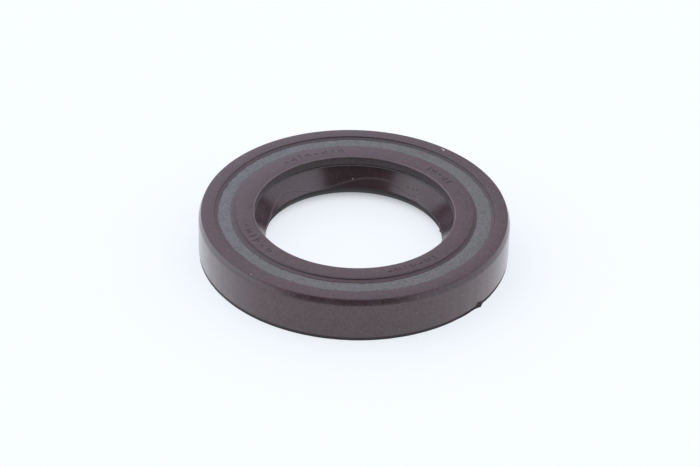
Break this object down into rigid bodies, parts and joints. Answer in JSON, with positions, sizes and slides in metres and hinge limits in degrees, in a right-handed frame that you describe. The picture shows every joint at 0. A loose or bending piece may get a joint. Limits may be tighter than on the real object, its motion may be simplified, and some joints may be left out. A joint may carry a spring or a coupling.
{
  "type": "radial shaft seal",
  "caption": "Rubber-covered radial shaft seal: a ring with a steel case bonded inside, a conical sealing lip and a garter spring, lying with its air side up.",
  "frame": {"origin": "centre of the flat base ring, on the seal's axis, at the oil side that it stands on", "axes": "+Z is the seal's axis and points out of the air side; X and Y lie in the base, and are free because the seal is round"},
  "size_m": [0.047, 0.047, 0.007],
  "materials": {
    "brown_rubber": "smooth moulded fluoro rubber, dark brown, low gloss with a sheen on the lip",
    "case_steel": "phosphated sheet steel, dull grey-green and lightly mottled",
    "spring_steel": "bright drawn spring wire, close-wound"
  },
  "bodies": {
    "root": {"rubber_body": "brown_rubber", "metal_case": "case_steel", "garter_spring": "spring_steel"}
  },
  "joints": []
}
